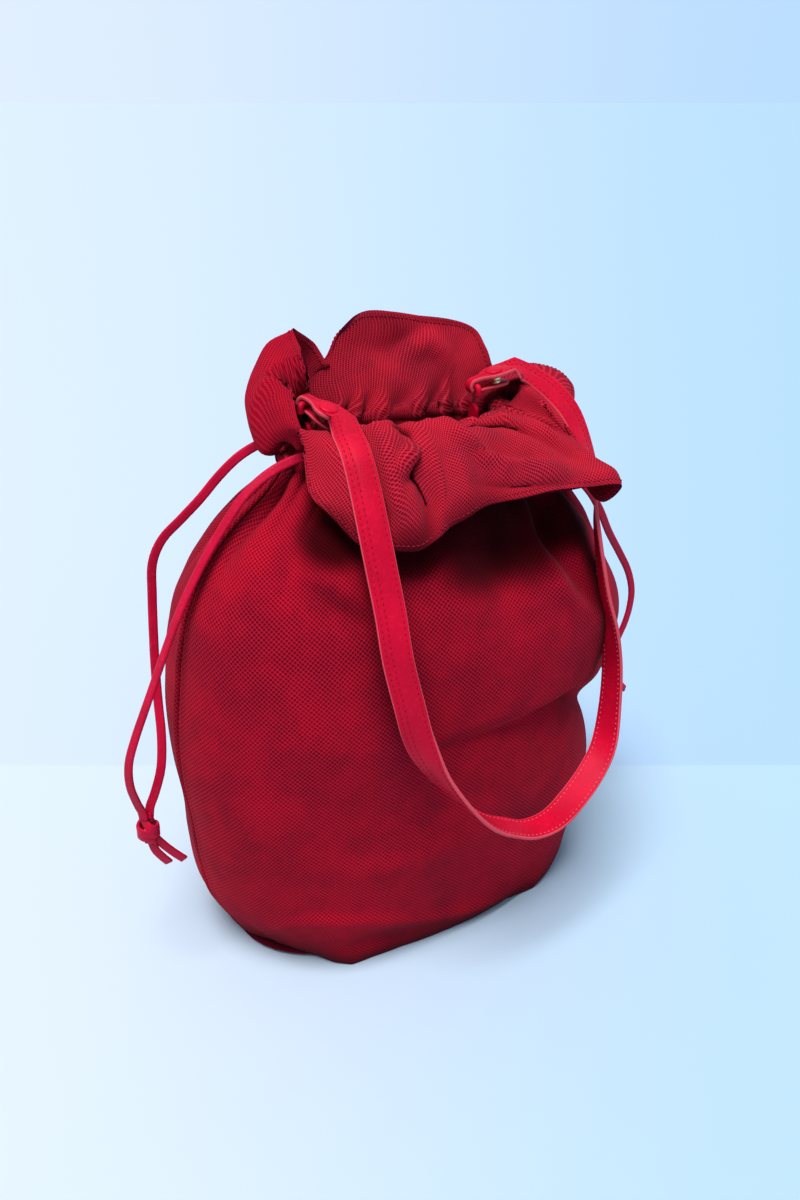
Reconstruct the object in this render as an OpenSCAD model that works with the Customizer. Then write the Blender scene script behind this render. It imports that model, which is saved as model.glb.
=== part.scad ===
// Drawstring bucket bag in suede, cinched shut, with a leather shoulder strap.
// Millimetres. The bag stands on z = 0 with its base centred on the origin. Its wide side faces -Y.

/* [Body] */
// Width of the flat oval base
base_w = 276; // [240:2:290]
// Depth of the flat oval base, front to back
base_d = 156; // [130:2:166]
// Widest width of the filled-out body
belly_w = 332; // [312:2:336]
// Deepest depth of the filled-out body
belly_d = 196; // [176:2:200]
// Height at which the body is gathered into the drawcord casing
casing_z = 350; // [340:1:352]
// How far the right side sags outward
sag = 10; // [0:1:12]
// Thickness of the suede
suede_t = 1.4; // [1:0.1:1.6]
// Thickness of the lining cloth
lining_t = 0.6; // [0.4:0.1:0.8]

/* [Neck and collar] */
// Width across the gathered neck
neck_w = 152; // [146:1:156]
// Depth of the gathered neck, front to back
neck_d = 60; // [54:1:64]
// Height of the drawcord casing
casing_h = 14; // [13.5:0.5:15]
// How far the collar humps up before it folds down
hump = 12; // [0:1:14]

/* [Strap] */
// Width of the strap
strap_w = 19; // [14:1:20]
// Thickness of the strap's outer leather
outer_t = 1.4; // [1:0.1:1.6]
// Thickness of the strap's backing leather
backing_t = 1.2; // [0.8:0.1:1.2]
// Width of the strap where it folds round the anchor loop
fold_w = 7; // [5:0.5:7]
// Diameter of the rolled leather anchor loops
loop_d = 4; // [3:0.5:4]
// Diameter of the press stud's cap
cap_d = 12; // [10:0.5:13]

/* [Drawcords] */
// Width of the flat drawcords
cord_w = 6; // [4:0.5:6]
// Thickness of the drawcords
cord_t = 2.4; // [1.6:0.2:2.4]

/* [Hidden] */
$fn = 48;

suede = [0.62, 0.07, 0.13];
leather = [0.83, 0.10, 0.20];
cloth = [0.25, 0.05, 0.08];
board = [0.55, 0.45, 0.33];
metal = [0.80, 0.68, 0.42];

// Roundness of every oval section
oval_power = 2.3;
// Each station of the body: share of the casing height, of the belly's width, of its depth
STATIONS = [
    [0, base_w / belly_w, base_d / belly_d], [0.04, 0.86, 0.85], [0.14, 0.935, 0.92],
    [0.27, 0.985, 0.98], [0.43, 1, 1], [0.57, 0.997, 0.99], [0.68, 0.976, 0.95],
    [0.77, 0.93, 0.88], [0.84, 0.865, 0.785], [0.89, 0.765, 0.67], [0.935, 0.645, 0.55],
    [0.97, 0.53, 0.42], [0.99, 0.47, 0.335], [1, neck_w / belly_w, neck_d / belly_d]
];
// Height and spread of the sag on the right side
sag_z = 215;
sag_spread = 45;

board_t = 2;
board_inset = 7;
panel_steps = 26;

// Hem of the collar: angle round the neck, then the hem's own place. From -Y round to +Y.
HEM = [
    [0, 112, 4, 366], [10, 116, 14, 371], [22, 112, 26, 379], [38, 96, 34, 389],
    [55, 78, 42, 408], [75, 45, 50, 424], [95, 10, 54, 428], [112, -20, 50, 424],
    [128, -38, 44, 408], [145, -54, 44, 421], [160, -80, 40, 410], [172, -92, 26, 390],
    [180, -92, 6, 378], [190, -88, -10, 376], [197, -86, -24, 368], [206, -81, -37, 347],
    [220, -71, -50, 334],
    [235, -58, -68, 319], [250, -40, -77, 315], [262, -16, -78, 320], [275, 8, -78, 330],
    [290, 36, -80, 335], [305, 64, -82, 336], [320, 86, -82, 336], [332, 97, -70, 339],
    [345, 99, -46, 350], [352, 104, -20, 359], [360, 112, 4, 366]
];
collar_rows = 6;
cord_gap = 2.6;

// Each strap end: place of the bar it folds round, then its turn about Z and its rise as it leaves
LEFT_END = [[-63, 0, 388], -60, -20];
RIGHT_END = [[58, 0, 383], -2, 12];
bar_clearance = 0.6;
fold_r = loop_d / 2 + bar_clearance;
snap_at = 16;
tab_len = 25;
tab_t = 2.2;

// Strap from the left end to the right: place, direction that the outer face looks, width share
STRAP = [
    [-52.5, -35.5, 376, -0.11, -0.46, 0.88, 1], [-53.5, -46.5, 369.5, -0.14, -0.63, 0.77, 1],
    [-54.5, -57, 358, -0.17, -0.78, 0.6, 1], [-56, -70, 338.5, -0.22, -0.85, 0.48, 1],
    [-56.5, -83, 311.5, -0.23, -0.88, 0.41, 1], [-56.5, -94.5, 285, -0.23, -0.91, 0.35, 1],
    [-56.5, -103.5, 259, -0.25, -0.93, 0.27, 1], [-53, -111, 231, -0.3, -0.94, 0.15, 1],
    [-48, -115, 206, -0.52, -0.85, -0.04, 1], [-37, -118.5, 179.5, -0.8, -0.47, -0.38, 1],
    [-18, -122, 152, -0.79, -0.12, -0.6, 1], [0, -123, 131.5, -0.67, 0.05, -0.75, 1],
    [19.5, -122.5, 118.5, -0.5, 0.14, -0.85, 1], [36, -122, 110.5, -0.27, 0.1, -0.96, 1],
    [57, -119, 108.5, 0.05, 0.2, -0.98, 1], [79, -112.5, 114.5, 0.23, 0.38, -0.9, 1],
    [99.5, -105.5, 125, 0.42, 0.39, -0.82, 1], [114.5, -98.5, 139, 0.73, 0.3, -0.61, 1],
    [124.5, -89.5, 163, 0.96, 0.15, -0.24, 1], [126.5, -85, 195, 1, 0.07, 0.03, 1],
    [123, -82.5, 224, 0.98, -0.05, 0.19, 1], [117.5, -79, 249.5, 0.96, -0.23, 0.18, 1],
    [114.5, -75, 275.5, 0.9, -0.41, 0.12, 1], [114, -68, 300.5, 0.84, -0.52, 0.11, 1],
    [118.5, -57.5, 320, 0.7, -0.66, 0.28, 1], [121, -44.5, 337.5, 0.42, -0.68, 0.58, 1],
    [119, -26.5, 361.5, 0.1, -0.72, 0.69, 1], [112.5, -12.5, 375, -0.02, -0.7, 0.71, 1],
    [104, -4, 383, 0.1, -0.68, 0.72, 1], [92.5, 0, 390, 0.23, -0.61, 0.76, 1]
];
strap_steps = 2;

// The cords' free strands, from the slit in the collar down to the knot
LEFT_FRONT = [
    [-70, -15, 360], [-77, -14, 359], [-88, -12, 355], [-99, -11, 349], [-111, -11, 340],
    [-122, -11, 327], [-135, -12, 311], [-146, -14, 296], [-156, -15, 280], [-166, -16, 261],
    [-176, -17, 240], [-186, -17, 218], [-195, -17, 198], [-201, -17, 181], [-202, -16, 164],
    [-199, -14, 148], [-196.5, -13, 139], [-196, -12.5, 132]
];
LEFT_BACK = [
    [-68, 18, 360], [-75, 22, 360], [-85, 26, 358], [-98, 29, 351], [-111, 31, 340],
    [-124, 32, 327], [-137, 34, 315], [-150, 36, 303], [-158, 36, 288], [-161, 34, 268],
    [-164, 30, 246], [-167, 25, 222], [-170, 17, 199], [-173, 7, 179], [-178, -2, 161],
    [-185, -7, 147], [-190, -9.5, 139], [-191.5, -10, 132]
];
RIGHT_FRONT = [
    [70, -15, 353], [78, -16, 352], [92, -15, 345], [108, -14, 335], [124, -13, 322],
    [141, -12, 308], [156, -11, 293], [169, -9, 275], [182, -5, 255], [199, -1, 232],
    [211, 0, 213], [217, 0, 195], [217, 0, 179], [214, 0, 166], [210, 0, 156], [206.5, 0, 147],
    [206, 0, 140]
];
RIGHT_BACK = [
    [68, 18, 353], [77, 22, 352], [91, 26, 345], [107, 28, 334], [123, 29, 321],
    [139, 29, 307], [154, 28, 292], [167, 26, 276], [179, 22, 258], [189, 18, 238],
    [196, 14, 216], [201, 10, 196], [203, 7, 178], [203, 5, 162], [202, 4, 148], [201.5, 3.5, 140]
];
LEFT_KNOT = [-193.5, -11, 112];
RIGHT_KNOT = [203.5, 1.5, 120];
LEFT_TAILS = [
    [[-193, -11, 112.5], [-191, -11, 104], [-187, -11, 96], [-183, -10, 89]],
    [[-190.5, -11, 114], [-185, -12, 106], [-179, -12, 97], [-173, -12, 89]]
];
RIGHT_TAILS = [
    [[206, 1, 121], [211, 1, 113], [216, 0, 106], [222, 0, 99]],
    [[203, 1.5, 120.5], [206, 2, 111], [210, 3, 101], [215, 3, 93]]
];
// Direction that the flat of the left and of the right cord faces
LEFT_CORD_FACE = [-0.5, -0.8, 0.3];
RIGHT_CORD_FACE = [0.3, -0.9, 0.3];
// Height of each cord's run inside the casing
left_run_z = casing_z + 10.4;
right_run_z = casing_z + 3.6;
run_half_gap = 10;

function unit(v) = v / norm(v);
function power(base, p) = sign(base) * pow(abs(base), p);
// Point of an oval of half width a and half depth b
function oval(angle, a, b) =
    [a * power(cos(angle), 2 / oval_power), b * power(sin(angle), 2 / oval_power)];
function oval_outline(a, b, steps) = [for (i = [0:steps - 1]) oval(360 * i / steps, a, b)];
function bump(x) = exp(-x * x);

// Outer face of the body, at an angle and a station, for a wall that starts at height z0
function body_point(angle, i, z0) = let (
        s = STATIONS[i],
        z = z0 + s[0] * (casing_z - z0),
        xy = oval(angle, s[1] * belly_w / 2, s[2] * belly_d / 2),
        lean = sag * pow(max(0, cos(angle)), 2) * bump((z - sag_z) / sag_spread)
    ) [xy[0] + lean, xy[1], z];

function body_offset(angle, i, z0, inset) = let (
        last = len(STATIONS) - 1,
        round = body_point(angle + 2, i, z0) - body_point(angle - 2, i, z0),
        up = body_point(angle, min(i + 1, last), z0) - body_point(angle, max(i - 1, 0), z0),
        out = unit(cross(round, up)),
        flat_out = i == 0 ? unit([out[0], out[1], 0]) : out
    ) body_point(angle, i, z0) - inset * flat_out;

// One upright slice of a body wall: up its outer face, then down its inner face
function body_slice(angle, z0, near, far) = let (last = len(STATIONS) - 1) concat(
        [for (i = [0:last]) body_offset(angle, i, z0, near)],
        [for (i = [last:-1:0]) body_offset(angle, i, z0, far)]
    );

// Place on the collar's hem at an angle round the neck
function hem_at(angle) = let (
        i = max([for (k = [0:len(HEM) - 2]) angle >= HEM[k][0] ? k : 0]),
        a = HEM[i],
        b = HEM[i + 1],
        f = (angle - a[0]) / (b[0] - a[0]),
        p = a + f * (b - a)
    ) [p[1], p[2], p[3]];

// Collar: the casing band for the first rows, then a curve from the neck out to the hem
function collar_point(angle, row) = let (
        xy = oval(angle, neck_w / 2, neck_d / 2),
        neck = [xy[0], xy[1], casing_z + casing_h],
        hem = hem_at((angle + 360) % 360),
        front = max(0, -sin(angle)),
        bend = [(neck[0] + hem[0]) / 2, (neck[1] + hem[1]) / 2, max(neck[2], hem[2]) + hump * front],
        t = max(0, row) / collar_rows
    ) row < 0 ? [xy[0], xy[1], casing_z + casing_h * (1 + row / 2)]
    : pow(1 - t, 2) * neck + 2 * t * (1 - t) * bend + t * t * hem;

function collar_offset(angle, row, inset) = let (
        round = collar_point(angle + 1, row) - collar_point(angle - 1, row),
        up = collar_point(angle, min(row + 1, collar_rows)) - collar_point(angle, max(row - 1, -2)),
        out = unit(cross(round, up)),
        flat_out = row <= 0 ? unit([out[0], out[1], 0]) : out
    ) collar_point(angle, row) - inset * flat_out;

// Inset of the facing's outer side: it clears the cords at the casing, then lies on the suede
function facing_inset(row) = suede_t + cord_gap * max(0, 1 - max(0, row) / 3);

function collar_slice(angle) = concat(
        [for (row = [-2:collar_rows]) collar_offset(angle, row, 0)],
        [for (row = [collar_rows:-1:-2]) collar_offset(angle, row, suede_t)]
    );
function facing_slice(angle) = concat(
        [for (row = [-2:collar_rows]) collar_offset(angle, row, facing_inset(row))],
        [for (row = [collar_rows:-1:-2]) collar_offset(angle, row, facing_inset(row) + suede_t)]
    );

function catmull(p, q, r, s, t) = 0.5 * (2 * q + (r - p) * t
    + (2 * p - 5 * q + 4 * r - s) * t * t + (3 * q - p - 3 * r + s) * t * t * t);
function smooth(list, steps) = concat(
        [for (i = [0:len(list) - 2], k = [0:steps - 1])
            catmull(list[max(i - 1, 0)], list[i], list[i + 1], list[min(i + 2, len(list) - 1)], k / steps)],
        [list[len(list) - 1]]
    );
function place(p) = [p[0], p[1], p[2]];
function facing(p) = [p[3], p[4], p[5]];
function along(path, i) =
    unit(place(path[min(i + 1, len(path) - 1)]) - place(path[max(i - 1, 0)]));
function square_to(v, axis) = unit(v - (v * axis) * axis);

// Cross-sections of a flat strip along a path of places and facings
function strip_sections(path, low, high) = [for (i = [0:len(path) - 1]) let (
        p = place(path[i]),
        t = along(path, i),
        n = square_to(facing(path[i]), t),
        side = cross(t, n) * path[i][6] * strap_w / 2
    ) [p + side + n * low, p + side + n * high, p - side + n * high, p - side + n * low]];

// Cross-sections of a flattened tube
tube_sides = 8;
function tube_sections(points, face) = [for (i = [0:len(points) - 1]) let (
        t = along(points, i),
        n = square_to(face, t),
        side = cross(t, n)
    ) [for (k = [0:tube_sides - 1]) let (a = 360 * (k + 0.5) / tube_sides)
        points[i] + side * cos(a) * cord_w / 2 + n * sin(a) * cord_t / 2]];

// Closed solid through a row of sections, each one loop of points
module skin(sections) {
    count = len(sections);
    m = len(sections[0]);
    half = m / 2;
    o = (count - 1) * m;
    // Quads start at a corner chosen so that two skins laid together split along the same diagonals
    quads = concat(
        [for (j = [0:count - 2], k = [0:m - 1]) let (a = j * m + k, b = j * m + (k + 1) % m)
            k < half ? [b, b + m, a + m, a] : [a, b, b + m, a + m]],
        [for (k = [0:half - 2]) [k + 1, k, m - 1 - k, m - 2 - k]],
        [for (k = [0:half - 2]) [o + k, o + k + 1, o + m - 2 - k, o + m - 1 - k]]
    );
    faces = [for (q = quads) each [[q[0], q[1], q[2]], [q[0], q[2], q[3]]]];
    polyhedron([for (s = sections) each s], faces);
}

// Half of the body's wall, from one side seam to the other
module body_half(start, z0, near, far) {
    skin([for (i = [0:panel_steps]) body_slice(start + 180 * i / panel_steps, z0, near, far)]);
}

// Angles round half of the collar, with one at every bend of the hem
function half_angles(start) = [for (i = [0:panel_steps]) start + 180 * i / panel_steps];

module oval_plate(inset, z, t) {
    translate([0, 0, z])
        linear_extrude(t)
            polygon(oval_outline(base_w / 2 - inset, base_d / 2 - inset, 2 * panel_steps));
}

module base_panel() {
    color(suede) oval_plate(0, 0, suede_t);
}

module base_board() {
    color(board) oval_plate(board_inset, suede_t, board_t);
}

base_lining_z = suede_t + board_t;
module base_lining() {
    color(cloth) oval_plate(suede_t + 0.6, base_lining_z, lining_t);
}

module front_panel() {
    color(suede) body_half(180, suede_t, 0, suede_t);
}

module back_panel() {
    color(suede) body_half(0, suede_t, 0, suede_t);
}

lining_z0 = base_lining_z + lining_t;
lining_inset = suede_t + 0.5;
module front_lining() {
    color(cloth) body_half(180, lining_z0, lining_inset, lining_inset + lining_t);
}

module back_lining() {
    color(cloth) body_half(0, lining_z0, lining_inset, lining_inset + lining_t);
}

// Slit in the casing for a cord, at the start of a strand
module slit(route) {
    direction = route[1] - route[0];
    translate(route[0])
        rotate([0, 0, atan2(direction[1], direction[0])])
            cube([16, cord_t + 4, cord_w + 1.6], center = true);
}

module front_collar() {
    color(suede) difference() {
        skin([for (a = half_angles(180)) collar_slice(a)]);
        slit(LEFT_FRONT);
        slit(RIGHT_FRONT);
    }
}

module back_collar() {
    color(suede) difference() {
        skin([for (a = half_angles(0)) collar_slice(a)]);
        slit(LEFT_BACK);
        slit(RIGHT_BACK);
    }
}

module front_collar_facing() {
    color(suede) skin([for (a = half_angles(180)) facing_slice(a)]);
}

module back_collar_facing() {
    color(suede) skin([for (a = half_angles(0)) facing_slice(a)]);
}

// Flat band of cord in the casing, open on the side where the cord comes out
module cord_run(z, open_angle) {
    inset = suede_t + 0.1;
    a = neck_w / 2 - inset;
    b = neck_d / 2 - inset;
    color(leather) translate([0, 0, z - cord_w / 2])
        linear_extrude(cord_w)
            difference() {
                polygon(oval_outline(a, b, 2 * panel_steps));
                polygon(oval_outline(a - cord_t, b - cord_t, 2 * panel_steps));
                translate([cos(open_angle) * neck_w / 2, 0])
                    square([2 * run_half_gap, neck_d], center = true);
            }
}

module strand(route, face) {
    color(leather) skin(tube_sections(route, face));
}

// Overhand knot as one lump with a flat top, and two flat tails
module knot(at, tails, face) {
    color(leather) union() {
        translate(at)
            rotate_extrude()
                polygon([[0, 0], [4, 0], [7, 3], [8, 9], [7.6, 15], [6.2, 20], [0, 20]]);
        for (tail = tails)
            skin(tube_sections(tail, face));
    }
}

module left_cord_run() { cord_run(left_run_z, 180); }
module right_cord_run() { cord_run(right_run_z, 0); }
module left_cord_front() { strand(LEFT_FRONT, LEFT_CORD_FACE); }
module left_cord_back() { strand(LEFT_BACK, LEFT_CORD_FACE); }
module right_cord_front() { strand(RIGHT_FRONT, RIGHT_CORD_FACE); }
module right_cord_back() { strand(RIGHT_BACK, RIGHT_CORD_FACE); }
module left_cord_knot() { knot(LEFT_KNOT, LEFT_TAILS, LEFT_CORD_FACE); }
module right_cord_knot() { knot(RIGHT_KNOT, RIGHT_TAILS, RIGHT_CORD_FACE); }

// Moves its children to a strap end: x runs along the strap, y along the bar, z outward
module at_end(end) {
    translate(end[0])
        rotate([0, -end[2], end[1]])
            children();
}

// Rolled leather loop that the strap's end folds round: a bar with two short legs
leg = 5;
corner_r = 2.3;
link_half = (fold_w + 0.6 + loop_d) / 2;
module anchor_loop(end) {
    span = link_half - corner_r;
    color(leather) translate(end[0]) rotate([0, 0, end[1] + 90]) {
        rotate([0, 90, 0])
            cylinder(d = loop_d, h = 2 * span, center = true);
        for (side = [0, 1])
            mirror([side, 0, 0]) {
                translate([span, 0, -corner_r])
                    rotate([90, 0, 0])
                        rotate_extrude(angle = 90)
                            translate([corner_r, 0])
                                circle(d = loop_d);
                translate([link_half, 0, -leg])
                    cylinder(d = loop_d, h = leg - corner_r);
            }
    }
}

// Sewn root of the loop: a flat strip inside the neck, with a round top
root_w = 9;
root_t = 2.4;
root_gap = 12;
root_foot_z = casing_z - 4;
module anchor_root(end) {
    bar = end[0];
    top = bar[2] - root_gap;
    color(leather) union() {
        translate([bar[0] - root_t / 2, -root_w / 2, root_foot_z])
            cube([root_t, root_w, top - root_w / 2 - root_foot_z]);
        translate([bar[0], 0, top - root_w / 2])
            rotate([0, 90, 0])
                cylinder(d = root_w, h = root_t, center = true);
    }
}

module left_anchor_loop() { anchor_loop(LEFT_END); }
module right_anchor_loop() { anchor_loop(RIGHT_END); }
module left_anchor_root() { anchor_root(LEFT_END); }
module right_anchor_root() { anchor_root(RIGHT_END); }

// Directions at a strap end: heading away from the bar, and where the outer face looks
function heading(end) = [cos(end[1]) * cos(end[2]), sin(end[1]) * cos(end[2]), sin(end[2])];
function outward(end) = [-cos(end[1]) * sin(end[2]), -sin(end[1]) * sin(end[2]), cos(end[2])];
mid_r = fold_r + backing_t;
straight_run = 26;
// Strip round the bar, from under it over the back to its top, then straight on
function strap_end(end) = let (
        h = heading(end),
        n = outward(end),
        share = fold_w / strap_w,
        top = end[0] + mid_r * n
    ) concat(
        [for (a = [-45:27:90]) let (out = n * sin(a) - h * cos(a)) concat(end[0] + mid_r * out, out, share)],
        [concat(top + 5 * h, n, share), concat(top + 10 * h, n, 0.75), concat(top + snap_at * h, n, 1),
            concat(top + (snap_at + cap_d / 2 + 1) * h, n, 1), concat(top + straight_run * h, n, 1)]
    );
function backwards(list) = [for (i = [len(list) - 1:-1:0]) list[i]];
strap_path = concat(
    strap_end(LEFT_END),
    smooth(STRAP, strap_steps),
    backwards(strap_end(RIGHT_END))
);

// Moves its children to a press stud's axis, at the bar's level
module at_snap(end) {
    at_end(end)
        translate([snap_at, 0, 0])
            children();
}

post_d = 3;
post_hole = 3.2;
module post_holes() {
    for (end = [LEFT_END, RIGHT_END])
        at_snap(end)
            cylinder(d = post_hole, h = fold_r + 8);
}

module strap_outer() {
    color(leather) difference() {
        skin(strip_sections(strap_path, 0, outer_t));
        post_holes();
    }
}

module strap_backing() {
    color(leather) difference() {
        skin(strip_sections(strap_path, -backing_t, 0));
        post_holes();
    }
}

cap_t = 1.6;
cap_z = mid_r + outer_t;
module snap_cap(end) {
    color(leather) at_snap(end) {
        translate([0, 0, cap_z])
            rotate_extrude()
                polygon([[0, 0], [cap_d / 2, 0], [cap_d / 2, 0.5], [cap_d / 2 - 1, 1.2],
                    [cap_d / 4, cap_t], [0, cap_t]]);
        translate([0, 0, fold_r])
            cylinder(d = post_d, h = cap_z - fold_r);
    }
}

socket_d = 9;
socket_h = fold_r + 0.1;
socket_bore = 4.6;
module snap_socket(end) {
    color(metal) at_snap(end)
        difference() {
            translate([0, 0, fold_r - socket_h])
                cylinder(d = socket_d, h = socket_h);
            translate([0, 0, fold_r - socket_h - 1])
                cylinder(d = socket_bore, h = socket_h);
        }
}

// Folded-back end of the strap, lying under it: a plate with a round end
tab_r = 6;
tab_outline = concat(
    [[0, fold_w / 2], [0, -fold_w / 2], [5, -fold_w / 2], [12, -tab_r]],
    [for (a = [-90:15:90]) [tab_len - tab_r + tab_r * cos(a), tab_r * sin(a)]],
    [[12, tab_r], [5, fold_w / 2]]
);
module strap_tab(end) {
    color(leather) at_end(end)
        translate([0, 0, -fold_r - tab_t])
            linear_extrude(tab_t)
                difference() {
                    polygon(tab_outline);
                    translate([snap_at, 0])
                        circle(d = post_hole);
                }
}

stud_d = 8;
module snap_stud(end) {
    color(metal) at_snap(end) {
        translate([0, 0, -fold_r])
            cylinder(d = stud_d, h = 1.4);
        translate([0, 0, -fold_r + 1.4])
            cylinder(d = 3.8, h = 2.4);
        translate([0, 0, -fold_r - tab_t])
            cylinder(d = post_d, h = tab_t);
        translate([0, 0, -fold_r - tab_t - 0.8])
            cylinder(d = stud_d, h = 0.8);
    }
}

module left_snap_cap() { snap_cap(LEFT_END); }
module right_snap_cap() { snap_cap(RIGHT_END); }
module left_snap_socket() { snap_socket(LEFT_END); }
module right_snap_socket() { snap_socket(RIGHT_END); }
module left_strap_tab() { strap_tab(LEFT_END); }
module right_strap_tab() { strap_tab(RIGHT_END); }
module left_snap_stud() { snap_stud(LEFT_END); }
module right_snap_stud() { snap_stud(RIGHT_END); }

base_panel();
base_board();
base_lining();
front_panel();
back_panel();
front_lining();
back_lining();
front_collar();
back_collar();
front_collar_facing();
back_collar_facing();
left_cord_run();
left_cord_front();
left_cord_back();
left_cord_knot();
right_cord_run();
right_cord_front();
right_cord_back();
right_cord_knot();
left_anchor_root();
right_anchor_root();
left_anchor_loop();
right_anchor_loop();
strap_outer();
strap_backing();
left_snap_cap();
left_snap_socket();
left_strap_tab();
left_snap_stud();
right_snap_cap();
right_snap_socket();
right_strap_tab();
right_snap_stud();
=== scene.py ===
import math

import bpy
import numpy as np
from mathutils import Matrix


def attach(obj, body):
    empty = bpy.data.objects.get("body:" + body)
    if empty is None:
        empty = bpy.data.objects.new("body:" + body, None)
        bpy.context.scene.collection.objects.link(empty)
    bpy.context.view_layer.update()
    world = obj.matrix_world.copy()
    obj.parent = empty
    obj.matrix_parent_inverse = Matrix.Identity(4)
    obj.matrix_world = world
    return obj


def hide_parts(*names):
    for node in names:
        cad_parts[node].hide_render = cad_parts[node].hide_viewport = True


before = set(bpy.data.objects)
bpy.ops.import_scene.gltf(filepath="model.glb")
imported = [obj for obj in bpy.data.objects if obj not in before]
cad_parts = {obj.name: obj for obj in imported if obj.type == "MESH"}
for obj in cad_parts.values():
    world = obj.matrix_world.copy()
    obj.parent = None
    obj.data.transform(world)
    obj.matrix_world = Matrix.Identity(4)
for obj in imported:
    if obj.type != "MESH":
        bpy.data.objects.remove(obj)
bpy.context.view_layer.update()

MM = 0.001
scene = bpy.context.scene


def unit(v):
    v = np.asarray(v, float)
    return v / np.maximum(np.linalg.norm(v, axis=-1, keepdims=True), 1e-9)


def smooth_step(x, lo, hi):
    t = np.clip((x - lo) / (hi - lo), 0, 1)
    return t * t * (3 - 2 * t)


def bell(x):
    return np.exp(-x * x)


def catmull(points, steps, closed=False):
    """Smooth curve through points (any number of columns), with so many steps to a span."""
    p = np.asarray(points, float)
    p = np.concatenate([p[-1:], p, p[:2]] if closed else [p[:1], p, p[-1:]])
    out = []
    for a, b, c, d in zip(p, p[1:], p[2:], p[3:]):
        for t in np.arange(steps) / steps:
            out.append(0.5 * (2 * b + (c - a) * t + (2 * a - 5 * b + 4 * c - d) * t * t
                              + (3 * b - a - 3 * c + d) * t ** 3))
    if not closed:
        out.append(p[-1])
    return np.array(out)


def lengths(points):
    """Distance along a row of points to each of them."""
    d = np.linalg.norm(np.diff(points, axis=0), axis=1)
    return np.concatenate([[0], np.cumsum(d)])


def make_object(name, verts, faces, uvs=None, slots=None):
    """Mesh object from millimetre vertices; uvs has one millimetre pair for each face corner."""
    me = bpy.data.meshes.new(name)
    me.from_pydata([tuple(float(c) * MM for c in v) for v in verts], [], faces)
    if uvs is not None:
        layer = me.uv_layers.new(name="Cloth")
        layer.data.foreach_set("uv", (np.asarray(uvs, float) * MM).ravel())
    me.polygons.foreach_set("use_smooth", [True] * len(me.polygons))
    if slots is not None:
        me.polygons.foreach_set("material_index", slots)
    me.update()
    ob = bpy.data.objects.new(name, me)
    scene.collection.objects.link(ob)
    return ob


def give(ob, *materials):
    for m in materials:
        ob.data.materials.append(m)


def place(ob, body, slot, *nodes):
    """Puts a piece on its body and hides the CAD nodes that it stands for; its material slot is not used.
    """
    if nodes:
        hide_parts(*nodes)
    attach(ob, body)


# ---- materials

class Wires:
    """Short ways to add shader nodes to one tree."""

    def __init__(self, nt):
        self.nt = nt

    def put(self, socket, value):
        if isinstance(value, bpy.types.NodeSocket):
            self.nt.links.new(value, socket)
        else:
            socket.default_value = value

    def math(self, op, a, b=0.0):
        n = self.nt.nodes.new("ShaderNodeMath")
        n.operation = op
        self.put(n.inputs[0], a)
        self.put(n.inputs[1], b)
        return n.outputs[0]

    def add(self, a, b):
        return self.math("ADD", a, b)

    def sub(self, a, b):
        return self.math("SUBTRACT", a, b)

    def mul(self, a, b):
        return self.math("MULTIPLY", a, b)

    def step(self, x, lo, hi):
        n = self.nt.nodes.new("ShaderNodeMapRange")
        n.interpolation_type = "SMOOTHSTEP"
        self.put(n.inputs["Value"], x)
        n.inputs["From Min"].default_value = lo
        n.inputs["From Max"].default_value = hi
        return n.outputs["Result"]

    def mix(self, f, a, b):
        n = self.nt.nodes.new("ShaderNodeMix")
        n.data_type = "RGBA"
        self.put(n.inputs[0], f)
        self.put(n.inputs[6], (*a, 1) if isinstance(a, tuple) else a)
        self.put(n.inputs[7], (*b, 1) if isinstance(b, tuple) else b)
        return n.outputs[2]

    def noise(self, vector, scale, detail=3.0, rough=0.5):
        n = self.nt.nodes.new("ShaderNodeTexNoise")
        self.put(n.inputs["Vector"], vector)
        n.inputs["Scale"].default_value = scale
        n.inputs["Detail"].default_value = detail
        n.inputs["Roughness"].default_value = rough
        return n.outputs["Fac"]

    def object_coords(self):
        return self.nt.nodes.new("ShaderNodeTexCoord").outputs["Object"]

    def cloth(self, turn, pitch):
        """Cloth coordinates in units of pitch metres, turned by so many degrees."""
        uv = self.nt.nodes.new("ShaderNodeUVMap")
        uv.uv_map = "Cloth"
        n = self.nt.nodes.new("ShaderNodeMapping")
        self.nt.links.new(uv.outputs[0], n.inputs["Vector"])
        n.inputs["Rotation"].default_value = (0, 0, math.radians(turn))
        n.inputs["Scale"].default_value = (1 / pitch, 1 / pitch, 1)
        return n.outputs[0]

    def parts(self, v):
        n = self.nt.nodes.new("ShaderNodeSeparateXYZ")
        self.nt.links.new(v, n.inputs[0])
        return n.outputs

    def bump(self, height, strength, distance):
        n = self.nt.nodes.new("ShaderNodeBump")
        self.put(n.inputs["Height"], height)
        n.inputs["Strength"].default_value = strength
        n.inputs["Distance"].default_value = distance
        return n.outputs[0]


def nodes_of(name, rough, spec, more=None):
    """New material, its shader with some sockets set, and the wires of its tree."""
    m = bpy.data.materials.new(name)
    m.use_nodes = True
    b = m.node_tree.nodes["Principled BSDF"]
    for socket, value in {"Roughness": rough, "Specular IOR Level": spec, **(more or {})}.items():
        b.inputs[socket].default_value = value
    return m, b, Wires(m.node_tree)


def shade(colour, by):
    return tuple(by * c for c in colour)


# The suede's pin holes: metres apart, and degrees that their rows are turned
GRID_PITCH, GRID_TURN = 0.0022, 45.0
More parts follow.
